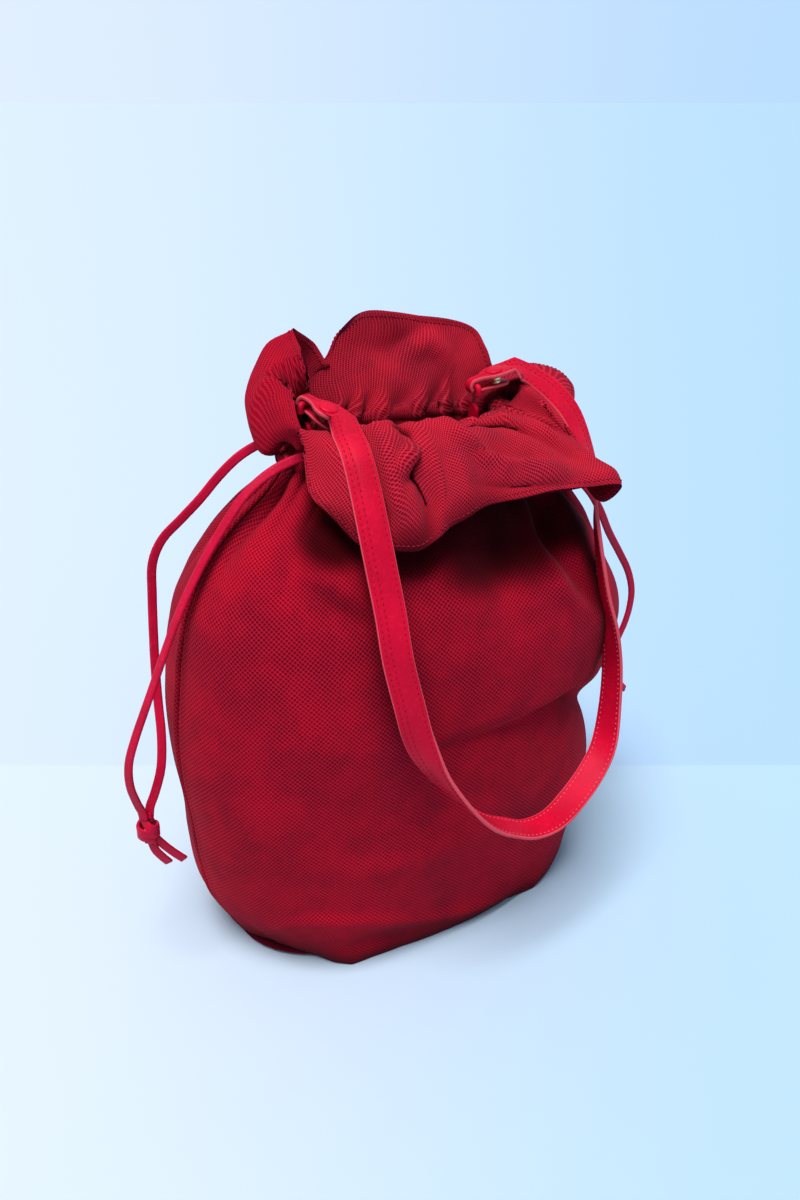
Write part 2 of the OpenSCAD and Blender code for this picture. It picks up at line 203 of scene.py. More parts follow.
# Spots painted dark as shade under the collar's flap and by the left shoulder: middle and reach, in metres
PAINTED_SHADE_SPOTS = [
    ((0.018, -0.066, 0.306), 0.046), ((0.058, -0.062, 0.304), 0.046), ((0.100, -0.052, 0.300), 0.030),
    ((-0.070, -0.048, 0.318), 0.028), ((-0.030, -0.066, 0.312), 0.028)]
# reach of the ambient occlusion that paints shade into folds, in metres
SHADE_AO_REACH = 0.06


def suede(name, dark, mid, light):
    """Napped suede pricked with a fine square grid of pin holes, with painted shade in set spots and deep
    in folds.
    """
    m, b, w = nodes_of(name, 0.95, 0.03, {"Sheen Weight": 0.10, "Sheen Roughness": 0.45,
                                          "Sheen Tint": (1.0, 0.22, 0.30, 1)})
    obj = w.object_coords()
    grid = w.parts(w.cloth(GRID_TURN, GRID_PITCH))
    wobble = w.mul(w.sub(w.noise(obj, 260, 2), 0.5), 0.35)
    waves = []
    for axis in (0, 1):
        waves.append(w.math("COSINE", w.mul(w.add(grid[axis], wobble), 2 * math.pi)))
    peak = w.mul(w.add(waves[0], 1.0), w.add(waves[1], 1.0))
    hole = w.step(peak, 0.9, 3.0)
    rib = w.step(peak, 0.5, 0.0)
    nap = w.noise(obj, 1500, 3, 0.7)
    cloud = w.noise(obj, 17, 4, 0.55)
    patch = w.noise(obj, 55, 3, 0.6)
    tone = w.add(w.mul(cloud, 0.62), w.mul(patch, 0.38))
    deep = (0.50 * mid[0], 0.6 * mid[1], 0.82 * mid[2])
    body = w.mix(w.step(tone, 0.36, 0.62), deep, mid)
    body = w.mix(w.mul(rib, 0.55), body, light)
    body = w.mix(w.mul(w.step(nap, 0.48, 0.75), 0.30), body, light)
    body = w.mix(w.mul(hole, 0.5), body, dark)
    # painted shade: the colour goes near black round each of these spots
    at = w.parts(obj)
    for centre, reach in PAINTED_SHADE_SPOTS:
        square = None
        for value, middle in zip(at, centre):
            off = w.sub(value, middle)
            off = w.mul(off, off)
            square = off if square is None else w.add(square, off)
        near = w.step(square, reach ** 2, 0.12 * reach ** 2)
        body = w.mix(w.mul(near, 0.92), body, shade(dark, 0.25))
    # painted shade: the colour goes near black deep in folds and hollows, by ambient occlusion
    fold_shade_ao = w.nt.nodes.new("ShaderNodeAmbientOcclusion")
    fold_shade_ao.samples = 6
    fold_shade_ao.inputs["Distance"].default_value = SHADE_AO_REACH
    w.put(b.inputs["Base Color"], w.mix(w.step(fold_shade_ao.outputs["AO"], 0.22, 0.84), shade(mid, 0.05), body))
    w.put(b.inputs["Normal"], w.bump(w.sub(w.mul(nap, 0.25), hole), 0.55, 0.0005))
    return m


def leather(name, base, light, rough=0.44):
    """Smooth dyed leather with a fine pebble, soft creases and lighter rubbed places."""
    m, b, w = nodes_of(name, rough, 0.22, {"Specular Tint": (1.0, 0.30, 0.42, 1)})
    obj = w.object_coords()
    pebble = w.nt.nodes.new("ShaderNodeTexVoronoi")
    w.put(pebble.inputs["Vector"], obj)
    pebble.inputs["Scale"].default_value = 900
    fine = w.noise(obj, 420, 4, 0.6)
    broad = w.noise(obj, 38, 4, 0.55)
    colour = w.mix(w.step(broad, 0.35, 0.7), shade(base, 0.80), base)
    colour = w.mix(w.mul(w.step(fine, 0.52, 0.78), 0.45), colour, light)
    w.put(b.inputs["Base Color"], colour)
    w.put(b.inputs["Roughness"], w.add(rough - 0.06, w.mul(fine, 0.16)))
    height = w.add(w.mul(pebble.outputs["Distance"], 0.5), w.mul(fine, 0.9))
    w.put(b.inputs["Normal"], w.bump(height, 0.35, 0.0004))
    return m


def plain(name, base, rough, scale, depth, spec, metal=0.0):
    """One dye with a fine grain in its colour and surface."""
    m, b, w = nodes_of(name, rough, spec, {"Metallic": metal})
    fine = w.noise(w.object_coords(), scale, 4, 0.6)
    w.put(b.inputs["Base Color"], w.mix(w.step(fine, 0.3, 0.7), shade(base, 0.78), base))
    w.put(b.inputs["Normal"], w.bump(fine, depth, 0.0003))
    return m


def woven(name, base, pitch):
    """Plain woven lining cloth, with threads pitch metres apart."""
    m, b, w = nodes_of(name, 0.85, 0.05)
    p = w.parts(w.object_coords())
    a = w.math("SINE", w.mul(w.add(p[0], p[1]), 2 * math.pi / pitch))
    c = w.math("SINE", w.mul(p[2], 2 * math.pi / pitch))
    weave = w.mul(w.add(w.mul(a, c), 1.0), 0.5)
    w.put(b.inputs["Base Color"], w.mix(weave, shade(base, 0.6), base))
    w.put(b.inputs["Normal"], w.bump(weave, 0.3, 0.0002))
    return m


SUEDE = suede("suede", (0.060, 0.0003, 0.0030), (0.33, 0.0010, 0.0125), (0.52, 0.0150, 0.0360))
SUEDE_IN = suede("suede_facing", (0.085, 0.0004, 0.0035), (0.37, 0.0028, 0.0165), (0.62, 0.0340, 0.0560))
EDGE = plain("suede_cut_edge", (0.060, 0.002, 0.010), 0.95, 900, 0.4, 0.03)
STRAP = leather("strap_leather", (0.58, 0.0020, 0.0260), (0.70, 0.0120, 0.0480))
STRAP_EDGE = plain("strap_cut_edge", (0.72, 0.075, 0.105), 0.7, 1200, 0.3, 0.1)
CORD = leather("cord_leather", (0.52, 0.0035, 0.0330), (0.66, 0.022, 0.066), rough=0.45)
THREAD = plain("thread", (0.38, 0.002, 0.016), 0.6, 2500, 0.4, 0.1)
THREAD_PALE = plain("thread_worn", (0.66, 0.12, 0.16), 0.6, 2500, 0.4, 0.1)
THREAD_SUEDE = plain("thread_hem", (0.30, 0.012, 0.030), 0.75, 2500, 0.4, 0.05)
LINING = woven("lining_cloth", (0.14, 0.004, 0.016), 0.0006)
BOARD = plain("bag_board", (0.42, 0.32, 0.21), 0.9, 300, 0.4, 0.4)
BRASS = plain("stud_metal", (0.80, 0.64, 0.36), 0.28, 200, 0.05, 0.4, metal=1.0)


# ---- camera and stage

CAMERA_TURN = -29
CAMERA_COS, CAMERA_SIN = 0.875, 0.485
KEY_BEARING, KEY_HEIGHT = -50, 72


def make_camera():
    data = bpy.data.cameras.new("camera")
    data.lens, data.sensor_width = 30.0, 36.0
    data.clip_start, data.clip_end = 0.01, 50.0
    cam = bpy.data.objects.new("camera", data)
    cam.location = (-0.300, -0.545, 0.556)
    cam.rotation_euler = (math.radians(63), 0, math.radians(CAMERA_TURN))
    scene.collection.objects.link(cam)
    scene.camera = cam


def make_floor():
    """Wide pale floor, a little deeper in tone past a line behind the bag, and painted darker towards its
    +x side as shade from a light on the left.
    """
    me = bpy.data.meshes.new("floor")
    r = 90.0
    me.from_pydata([(-r, -r, 0), (r, -r, 0), (r, r, 0), (-r, r, 0)], [], [(0, 1, 2, 3)])
    floor = bpy.data.objects.new("floor", me)
    floor.rotation_euler = (0, 0, math.radians(CAMERA_TURN))
    scene.collection.objects.link(floor)
    m, b, w = nodes_of("floor_with_painted_shade", 0.8, 0.1)
    p = w.parts(w.object_coords())
    far = w.step(p[1], 0.131, 0.134)
    # bearing across the floor from a spot in front of the bag, for the painted shade that darkens the floor
    # towards its +x side
    reach = w.math("MAXIMUM", w.add(p[1], 0.90), 0.3)
    across = w.step(w.math("DIVIDE", w.sub(p[0], 0.002), reach), -0.42, 0.44)
    near_tone = w.mix(across, (0.52, 0.59, 0.69), (0.36, 0.52, 0.67))
    far_tone = w.mix(across, (0.49, 0.56, 0.68), (0.32, 0.48, 0.67))
    w.put(b.inputs["Base Color"], w.mix(far, near_tone, far_tone))
    floor.data.materials.append(m)


def make_light():
    """Soft studio: pale walls all round, and one broad light from high on the left."""
    world = bpy.data.worlds.new("studio")
    scene.world = world
    world.use_nodes = True
    back = world.node_tree.nodes["Background"]
    w = Wires(world.node_tree)
    sky = w.parts(w.nt.nodes.new("ShaderNodeTexCoord").outputs["Generated"])
    right = w.sub(w.mul(sky[0], CAMERA_COS), w.mul(sky[1], CAMERA_SIN))
    ahead = w.add(w.mul(sky[0], CAMERA_SIN), w.mul(sky[1], CAMERA_COS))
    low = w.mix(w.step(right, -0.40, 0.40), (0.76, 0.87, 1.0), (0.50, 0.73, 1.0))
    low = w.mix(w.step(ahead, 0.45, -0.25), low, (0.40, 0.47, 0.56))
    w.put(back.inputs["Color"], w.mix(w.step(sky[2], 0.06, 0.40), low, (0.38, 0.44, 0.52)))
    back.inputs["Strength"].default_value = 1.0
    scene.view_settings.view_transform = "Standard"
    data = bpy.data.lights.new("key", "SUN")
    data.energy, data.angle, data.color = 3.9, math.radians(28), (1.0, 0.985, 0.97)
    key = bpy.data.objects.new("key", data)
    key.rotation_euler = (math.radians(90 - KEY_HEIGHT), 0, math.radians(KEY_BEARING))
    scene.collection.objects.link(key)


make_camera()
make_floor()
make_light()


# ---- strips and tubes

def along(points):
    """Directions along a row of points."""
    t = np.empty_like(points)
    t[1:-1] = points[2:] - points[:-2]
    t[0], t[-1] = points[1] - points[0], points[-1] - points[-2]
    return unit(t)


def square_to(v, t):
    """Directions v, turned square to directions t."""
    return unit(v - np.sum(v * t, axis=-1, keepdims=True) * t)


def at_length(d, s, points):
    """Place at distance d along points that lie at distances s."""
    return np.array([np.interp(d, s, points[:, k]) for k in range(3)])


def swept(name, points, faces_out, profile, edge_faces=()):
    """Solid swept along points. profile(i) gives section i as (side, height) pairs, going round."""
    t = along(points)
    n = square_to(faces_out, t)
    side = np.cross(t, n)
    s = lengths(points)
    verts, around = [], []
    for i, p in enumerate(points):
        prof = np.asarray(profile(i), float)
        verts += [p + side[i] * a + n[i] * h for a, h in prof]
        around.append(lengths(np.vstack([prof, prof[:1]])))
    m, count = len(prof), len(points)
    faces, uvs, slots = [], [], []
    for i in range(count - 1):
        for k in range(m):
            a, b = i * m + k, i * m + (k + 1) % m
            faces.append((a, b, b + m, a + m))
            uvs += [(around[i][k], s[i]), (around[i][k + 1], s[i]),
                    (around[i + 1][k + 1], s[i + 1]), (around[i + 1][k], s[i + 1])]
            slots.append(1 if k in edge_faces else 0)
    for base, order in ((0, -1), ((count - 1) * m, 1)):
        faces.append(tuple(range(base, base + m))[::order])
        uvs += [(0.0, 0.0)] * m
        slots.append(1 if edge_faces else 0)
    return make_object(name, verts, faces, uvs, slots)


# ---- drawcords

CORD_W, CORD_T = 6.0, 2.4
KNOT_W, KNOT_T = 5.6, 2.3
# The four strands, each from the casing to its knot
LEFT_FRONT = [
    (-70, -15, 360), (-77, -14, 359), (-88, -12, 355), (-99, -11, 349), (-111, -11, 340),
    (-122, -11, 327), (-135, -12, 311), (-146, -14, 296), (-156, -15, 280), (-166, -16, 261),
    (-176, -17, 240), (-186, -17, 218), (-195, -17, 198), (-201, -17, 181), (-202, -16, 164),
    (-199, -14, 148), (-196.5, -13, 139), (-196, -12.5, 132)]
LEFT_BACK = [
    (-68, 18, 360), (-75, 22, 360), (-85, 26, 358), (-98, 29, 351), (-111, 31, 340),
    (-124, 32, 327), (-137, 34, 315), (-150, 36, 303), (-158, 36, 288), (-161, 34, 268),
    (-164, 30, 246), (-167, 25, 222), (-170, 17, 199), (-173, 7, 179), (-178, -2, 161),
    (-185, -7, 147), (-190, -9.5, 139), (-191.5, -10, 132)]
RIGHT_FRONT = [
    (70, -15, 353), (78, -16, 352), (92, -15, 345), (108, -14, 335), (124, -13, 322),
    (141, -12, 308), (156, -11, 293), (169, -9, 275), (182, -5, 255), (199, -1, 232),
    (211, 0, 213), (217, 0, 195), (217, 0, 179), (214, 0, 166), (210, 0, 156), (206.5, 0, 147),
    (206, 0, 140)]
RIGHT_BACK = [
    (68, 18, 353), (77, 22, 352), (91, 26, 345), (107, 28, 334), (123, 29, 321),
    (139, 29, 307), (154, 28, 292), (167, 26, 276), (179, 22, 258), (189, 18, 238),
    (196, 14, 216), (201, 10, 196), (203, 7, 178), (203, 5, 162), (202, 4, 148), (201.5, 3.5, 140)]
LEFT_KNOT, RIGHT_KNOT = (-193.5, -11, 112), (203.5, 1.5, 120)
LEFT_TAILS = [
    [(-193, -11, 114), (-191, -11, 104), (-187, -11, 96), (-183, -10, 89)],
    [(-190.5, -11, 115), (-185, -12, 106), (-179, -12, 97), (-173, -12, 89)]]
RIGHT_TAILS = [
    [(206, 1, 122), (211, 1, 113), (216, 0, 106), (222, 0, 99)],
    [(203, 1.5, 122), (206, 2, 111), (210, 3, 101), (215, 3, 93)]]
LEFT_CORD_FACE, RIGHT_CORD_FACE = (-0.5, -0.8, 0.3), (0.3, -0.9, 0.3)


def lace_profile(width, thick):
    """Folded lace: rounded, with the fold's slit along one edge."""
    a, h = width / 2, thick / 2
    top = [(-a, 0.25 * h), (-a + 0.35, 0.75 * h), (-a + 1.1, h), (-0.4 * a, 0.98 * h), (0.3 * a, 1.02 * h),
           (a - 1.0, h), (a - 0.3, 0.7 * h), (a, 0.15 * h)]
    return top + [(a - 0.5, 0.0)] + [(x, -y) for x, y in top[::-1]]


def lace(name, route, face, twist):
    """Lace along a route, turned about itself by twist degrees at its middle."""
    pts = catmull(route, 4)
    t = along(pts)
    out = square_to(np.tile(unit(face), (len(pts), 1)), t)
    share = lengths(pts) / lengths(pts)[-1]
    a = (np.radians(twist) * np.sin(math.pi * share))[:, None]
    out = out * np.cos(a) + np.cross(t, out) * np.sin(a)
    ob = swept(name, pts, out, lambda i: lace_profile(CORD_W, CORD_T))
    give(ob, CORD)
    return ob, pts


def overhand(name, centre, face, tails):
    """Overhand knot tied in the two strands together, with its two cut tails."""
    f = unit(face)
    up = np.array([0, 0, 1.0])
    across = unit(np.cross(up, f))
    deep = np.cross(across, up)
    c = np.asarray(centre, float) + np.array([0, 0, 10.0])

    def local(a, d, h):
        return c + across * a + deep * d + up * h

    wraps = [
        [(-1.5, 0, 13), (-1, 2.2, 8), (3.5, 4.6, 4.5), (6.4, 1.0, 2.5), (4.5, -4.4, 1.2),
         (-1, -5.8, 0), (-5.8, -3.0, -1.4), (-6.0, 2.6, -2.4), (-1.5, 5.4, -3.0), (3.5, 3.6, -5),
         (3.8, 0.2, -8), (2.5, 0, -12)],
        [(2.0, 0, 13), (2.6, -2.2, 8.5), (0, -4.6, 5.2), (-5.2, -3.0, 3.8), (-6.2, 1.8, 2.4),
         (-2.2, 5.6, 1.6), (3.6, 4.8, 0.2), (6.2, 0, -2.2), (3.6, -4.2, -4.6), (-1, -3.4, -7),
         (-2.2, -0.8, -12)]]
    pieces = []
    for way in wraps:
        pts = catmull([local(*p) for p in way], 5)
        out = unit(pts - (c + up * ((pts - c) @ up)[:, None]) + 0.4 * f)
        pieces.append((pts, out))
    for tail in tails:
        pts = catmull(tail, 4)
        pieces.append((pts, np.tile(f, (len(pts), 1))))
    made = []
    for k, (pts, out) in enumerate(pieces):
        width = KNOT_W if k < len(wraps) else 1.08 * KNOT_W
        ob = swept(f"{name}_{k}", pts, out, lambda i: lace_profile(width, KNOT_T))
        give(ob, CORD)
        made.append(ob)
    bpy.ops.object.select_all(action="DESELECT")
    for ob in made:
        ob.select_set(True)
    bpy.context.view_layer.objects.active = made[0]
    bpy.ops.object.join()
    made[0].name = name
    return made[0]


for side, front, back, knot_at, tails, face in (
        ("left", LEFT_FRONT, LEFT_BACK, LEFT_KNOT, LEFT_TAILS, LEFT_CORD_FACE),
        ("right", RIGHT_FRONT, RIGHT_BACK, RIGHT_KNOT, RIGHT_TAILS, RIGHT_CORD_FACE)):
    knot = overhand(f"{side}_knot", knot_at, face, tails)
    place(knot, f"{side}_cord", "cord_leather", f"{side}_cord_knot")
    for which, route, twist in (("front", front, 35), ("back", back, -30)):
        ob, pts = lace(f"{side}_lace_{which}", route, face, twist)
        place(ob, f"{side}_cord", "cord_leather", f"{side}_cord_{which}")


# ---- strap

STRAP_W, BACKING_T = 19.0, 1.2
FOLD_W, FOLD_R, SNAP_AT, CAP_D, STRAIGHT = 7.0, 2.6, 16.0, 12.0, 26.0
# Bar's place, and the strap's bearing and rise away from it
LEFT_END = ((-63, 0, 388), -60, -20)
RIGHT_END = ((58, 0, 383), -2, 12)
# Middle of the strap from left to right: place, and direction of its outer face
ROUTE = [
    (-52.5, -35.5, 376, -0.11, -0.46, 0.88), (-53.5, -46.5, 369.5, -0.14, -0.63, 0.77),
    (-54.5, -57, 358, -0.17, -0.78, 0.6), (-56, -70, 338.5, -0.22, -0.85, 0.48),
    (-56.5, -83, 311.5, -0.23, -0.88, 0.41), (-56.5, -94.5, 285, -0.23, -0.91, 0.35),
    (-56.5, -103.5, 259, -0.25, -0.93, 0.27), (-53, -111, 231, -0.3, -0.94, 0.15),
    (-48, -115, 206, -0.52, -0.85, -0.04), (-37, -118.5, 179.5, -0.8, -0.47, -0.38),
    (-18, -122, 152, -0.79, -0.12, -0.6), (0, -123, 131.5, -0.67, 0.05, -0.75),
    (19.5, -122.5, 118.5, -0.5, 0.14, -0.85), (36, -122, 110.5, -0.27, 0.1, -0.96),
    (57, -119, 108.5, 0.05, 0.2, -0.98), (79, -112.5, 114.5, 0.23, 0.38, -0.9),
    (99.5, -105.5, 125, 0.42, 0.39, -0.82), (114.5, -98.5, 139, 0.73, 0.3, -0.61),
    (124.5, -89.5, 163, 0.96, 0.15, -0.24), (126.5, -85, 195, 1, 0.07, 0.03),
    (123, -82.5, 224, 0.98, -0.05, 0.19), (117.5, -79, 249.5, 0.96, -0.23, 0.18),
    (114.5, -75, 275.5, 0.9, -0.41, 0.12), (114, -68, 300.5, 0.84, -0.52, 0.11),
    (118.5, -57.5, 320, 0.7, -0.66, 0.28), (121, -44.5, 337.5, 0.42, -0.68, 0.58),
    (119, -26.5, 361.5, 0.1, -0.72, 0.69), (112.5, -12.5, 375, -0.02, -0.7, 0.71),
    (104, -4, 383, 0.1, -0.68, 0.72), (92.5, 0, 390, 0.23, -0.61, 0.76)]


def end_axes(end):
    """Bar's place, direction along the strap away from it, and the outer face's direction."""
    at, turn, rise = np.array(end[0], float), math.radians(end[1]), math.radians(end[2])
    h = np.array([math.cos(turn) * math.cos(rise), math.sin(turn) * math.cos(rise), math.sin(rise)])
    n = np.array([-math.cos(turn) * math.sin(rise), -math.sin(turn) * math.sin(rise), math.cos(rise)])
    return at, h, n


def strap_end(end):
    """Strap round its bar and along to its full width: rows as in ROUTE, and its share of that width."""
    at, h, n = end_axes(end)
    r = FOLD_R + BACKING_T
    fold = FOLD_W / STRAP_W
    out = []
    for a in range(-45, 91, 15):
        o = n * math.sin(math.radians(a)) - h * math.cos(math.radians(a))
        out.append((*(at + r * o), *o, fold))
    for d, width in ((3, fold), (6, 0.45), (9, 0.68), (12, 0.88), (SNAP_AT, 0.99),
                     (SNAP_AT + CAP_D / 2 + 1, 1), (STRAIGHT, 1)):
        out.append((*(at + r * n + d * h), *n, width))
    return out


strap_path = np.array(strap_end(LEFT_END) + [(*row, 1.0) for row in catmull(ROUTE, 5)]
                      + strap_end(RIGHT_END)[::-1])
sp, sn, sw = strap_path[:, :3], unit(strap_path[:, 3:6]), strap_path[:, 6] * STRAP_W / 2
STRAP_T = along(sp)
STRAP_N = square_to(sn, STRAP_T)
STRAP_SIDE = np.cross(STRAP_T, STRAP_N)
TAB_OPEN = 20


def press_tracks():
    """Places that cloth keeps below: where the strap lies on it, and the tabs at their most open."""
    lies = ((sp[:, 0] < 20) & (sp[:, 2] > 296)) | ((sp[:, 0] > 50) & (sp[:, 1] > -29))
    strap_track = np.hstack([sp, STRAP_N, STRAP_SIDE, STRAP_T, sw[:, None]])[lies]
    tab_track = []
    swing = math.radians(TAB_OPEN)
    for end, room in ((LEFT_END, 3.0), (RIGHT_END, 6.0)):
        at, h, n = end_axes(end)
        ahead = math.cos(swing) * h - math.sin(swing) * n
        face = math.cos(swing) * n + math.sin(swing) * h
        for d in range(4, 27, 2):
            spot = at - (FOLD_R + BACKING_T + room) * face + d * ahead
            tab_track.append((*spot, *face, *np.cross(ahead, face), *ahead, 6.0))
    return strap_track, np.array(tab_track)


PRESS = press_tracks()
HALF_STRAP_T = 1.25


def press_under(p, gap):
    """Pushes cloth below the strap, then below the tabs, where they lie on it."""
    flat = p.reshape(-1, 3).copy()
    for track in PRESS:
        near = np.full(len(flat), 1e9)
        who = np.zeros(len(flat), int)
        for i, row in enumerate(track):
            r = np.linalg.norm(flat - row[:3], axis=1)
            closer = r < near
            near = np.where(closer, r, near)
            who = np.where(closer, i, who)
        at, face, side, ahead, half = np.split(track[who], [3, 6, 9, 12], axis=1)
        d = flat - at
        up = np.sum(d * face, axis=1)
        out = np.abs(np.sum(d * side, axis=1))
        over = np.maximum(up + HALF_STRAP_T + gap, 0)
        fall = 1 - smooth_step(out, half[:, 0] + 0.5, half[:, 0] + 8)
        fall = fall * (up < 24) * (np.abs(np.sum(d * ahead, axis=1)) < 8)
        flat -= face * (over * fall)[:, None]
    return flat.reshape(p.shape)


# ---- shape of the bag

POWER = 2.3
CASING_Z, CASING_H = 350.0, 14.0
NECK_A, NECK_B = 76.0, 30.0
# Height, half width, half depth of the body
PROFILE = np.array([
    (0, 138, 78), (6, 141, 81), (14, 143, 83.5), (49, 155, 90), (94, 163.5, 96), (150, 166, 98),
    (200, 165.5, 97), (238, 162, 93), (268, 154.5, 86.5), (290, 143.5, 77.5), (308, 128, 66.5),
    (322, 109.5, 55), (334, 92, 43.5), (344, 80.5, 34), (350, NECK_A, NECK_B)], float)


def oval(angle, a, b):
    c, s = np.cos(angle), np.sin(angle)
    return a * np.sign(c) * np.abs(c) ** (2 / POWER), b * np.sign(s) * np.abs(s) ** (2 / POWER)


def pleats(angle, coarse):
    """Gathers round the neck, from -1 to 1: sharp valleys between rounded folds."""
    way = 21 * angle + 0.8 * np.sin(3 * angle + 1.1) + 0.6 * np.sin(7 * angle + 0.4)
    if coarse:
        way = 11 * angle + 0.9 * np.sin(2 * angle + 0.3) + 0.5 * np.sin(5 * angle + 2.0)
    return 2 * np.abs(np.sin(way / 2)) ** 0.8 - 1


def gathers(angle):
    """How far the neck's gathers stand out."""
    return 2.3 * pleats(angle, False) * (1 + 0.25 * np.sin(5 * angle + 0.5))


def neck_shape(angle, z):
    """Gathered neck and casing, at heights from a little below the casing to its top."""
    x, y = oval(angle, NECK_A, NECK_B)
    h = (z - CASING_Z) / CASING_H
    d = gathers(angle) + 1.3 * np.sin(np.clip(h, 0, 1) * math.pi) ** 0.6
    n = unit(np.stack([x / NECK_A ** 2, y / NECK_B ** 2], -1))
    return np.stack([x + n[..., 0] * d, y + n[..., 1] * d, z * np.ones_like(x)], -1)


def grid_normals(p, closed):
    """Outward normals of a grid of points [row, column], rows going up, columns anticlockwise."""
    if closed:
        across = np.roll(p, -1, axis=1) - np.roll(p, 1, axis=1)
    else:
        across = np.gradient(p, axis=1)
    up = np.gradient(p, axis=0)
    return unit(np.cross(across, up))


def stroke(p, path, amount, width, fade=True):
    """Height of a brush stroke along a path, at each point: tapered at its two ends."""
    path = np.asarray(path, float)
    s = lengths(path)
    best = np.full(p.shape[:-1], 1e9)
    place = np.zeros(p.shape[:-1])
    for i in range(len(path) - 1):
        a, d = path[i], path[i + 1] - path[i]
        t = np.clip(((p - a) @ d) / (d @ d), 0, 1)
        r = np.linalg.norm(p - (a + t[..., None] * d), axis=-1)
        near = r < best
        best = np.where(near, r, best)
        place = np.where(near, (s[i] + t * (s[i + 1] - s[i])) / s[-1], place)
    taper = np.sin(math.pi * np.clip(0.08 + 0.84 * place, 0, 1)) ** 0.7 if fade else 1.0
    return amount * bell(best / width) * taper


def table(x, pairs, period=None):
    xs, ys = np.array(pairs, float).T
    return np.interp(x, xs, ys, period=period)


# Polar angle and how far the base's outline stands out of the plain oval
BASE_OUT = [
    (0, 0), (120, 0), (150, 2), (167, 1), (176, -3), (185, -6), (189, -8), (192, -10.5), (196, -12.5),
    (203, -10), (211, -4), (217, 4), (222, 7.5), (230, 4), (242, 1.8), (283, 2), (306, 1), (312, 4),
    (318, 7.5), (327, 6.6), (341, 4.5), (352, 1), (360, 0)]
# How deep the slump on the right cuts in below its fold, by polar angle
SLUMP = [
    (0, 15), (20, 9), (40, 3), (60, 0), (235, 0), (250, 2), (265, 4), (285, 6.5), (300, 10), (316, 15),
    (335, 17), (350, 17), (360, 15)]
# Folds and dents of the body: path, height and width
STROKES = [
    # left shoulder, under the collar: lit ridge, then the valley beside it
    ([(-104, -34, 322), (-94, -54, 308), (-78, -66, 298), (-58, -78, 286)], 4.5, 10),
    ([(-99, -30, 323), (-99, -40, 314), (-93, -59, 297), (-80, -71, 282), (-60, -82, 268)], -6.5, 10),
    ([(-116, -20, 312), (-112, -44, 296), (-104, -62, 276)], 3.0, 14),
    # right of the middle, under the collar: folds that hang from the neck
    ([(60, -44, 330), (67, -62, 312), (69, -73, 290), (80, -80, 262), (97, -80, 244)], 6.0, 8),
    ([(70, -40, 328), (80, -56, 308), (84, -66, 286), (96, -72, 262), (108, -72, 246)], -8.5, 9),
    ([(88, -34, 322), (100, -50, 302), (108, -58, 282)], 4.0, 10),
    ([(112, -76, 228), (120, -66, 250), (118, -52, 280)], 3.0, 12),
    # hollow that the flap shades
    ([(22, -84, 300), (46, -84, 302), (72, -78, 304), (96, -66, 306)], -11.0, 17),
    ([(8, -78, 312), (40, -76, 318), (76, -66, 320)], -5.0, 12),
    # bag's middle, under the collar
    ([(-6, -62, 316), (-2, -82, 290), (10, -92, 260)], 2.5, 16),
    ([(24, -62, 314), (32, -80, 288), (44, -90, 256)], -3.0, 14),
    ([(-34, -64, 312), (-34, -82, 286), (-26, -94, 250)], -2.5, 14),
    # low front: the soft edge that the base tucks under
    ([(-134, -42, 30), (-119, -64, 47), (-100, -76, 52), (-73, -84, 47), (-46, -87, 36), (-21, -86, 26),
      (15, -85, 16), (55, -79, 10)], 3.2, 7),
    ([(-92, -72, 26), (-70, -78, 22), (-40, -80, 14)], -2.5, 8),
    ([(-84, -88, 92), (-57, -93, 93), (-27, -96, 94), (8, -96, 90)], 1.8, 12),
    ([(20, -99, 118), (60, -97, 100), (96, -86, 84)], 1.8, 16),
    ([(-60, -99, 150), (-20, -101, 132), (30, -100, 128)], -1.6, 18),
    ([(-120, -72, 200), (-90, -90, 178), (-50, -97, 168)], 1.6, 20),
    # back: broad hanging folds
    ([(-70, 50, 322), (-76, 74, 290), (-84, 86, 250)], 4.0, 12),
    ([(-40, 58, 322), (-40, 80, 290), (-34, 94, 240)], -4.0, 12),
    ([(0, 60, 322), (4, 84, 286), (2, 96, 240)], 3.5, 13),
    ([(36, 58, 322), (44, 80, 290), (52, 92, 250)], -4.0, 12),
    ([(74, 48, 322), (88, 68, 290), (100, 78, 256)], 4.0, 12),
    ([(-110, 78, 150), (-60, 95, 138), (0, 98, 146), (60, 94, 136)], -2.0, 16),
    ([(-120, 60, 60), (-60, 88, 66), (10, 92, 58), (70, 84, 50)], 1.6, 16),
]
# Puffed fold of cloth at the casing, below the left petal
PUFF = ([(-84, 8, 354), (-86, -2, 353), (-82, -12, 352)], 6.5, 10.0)


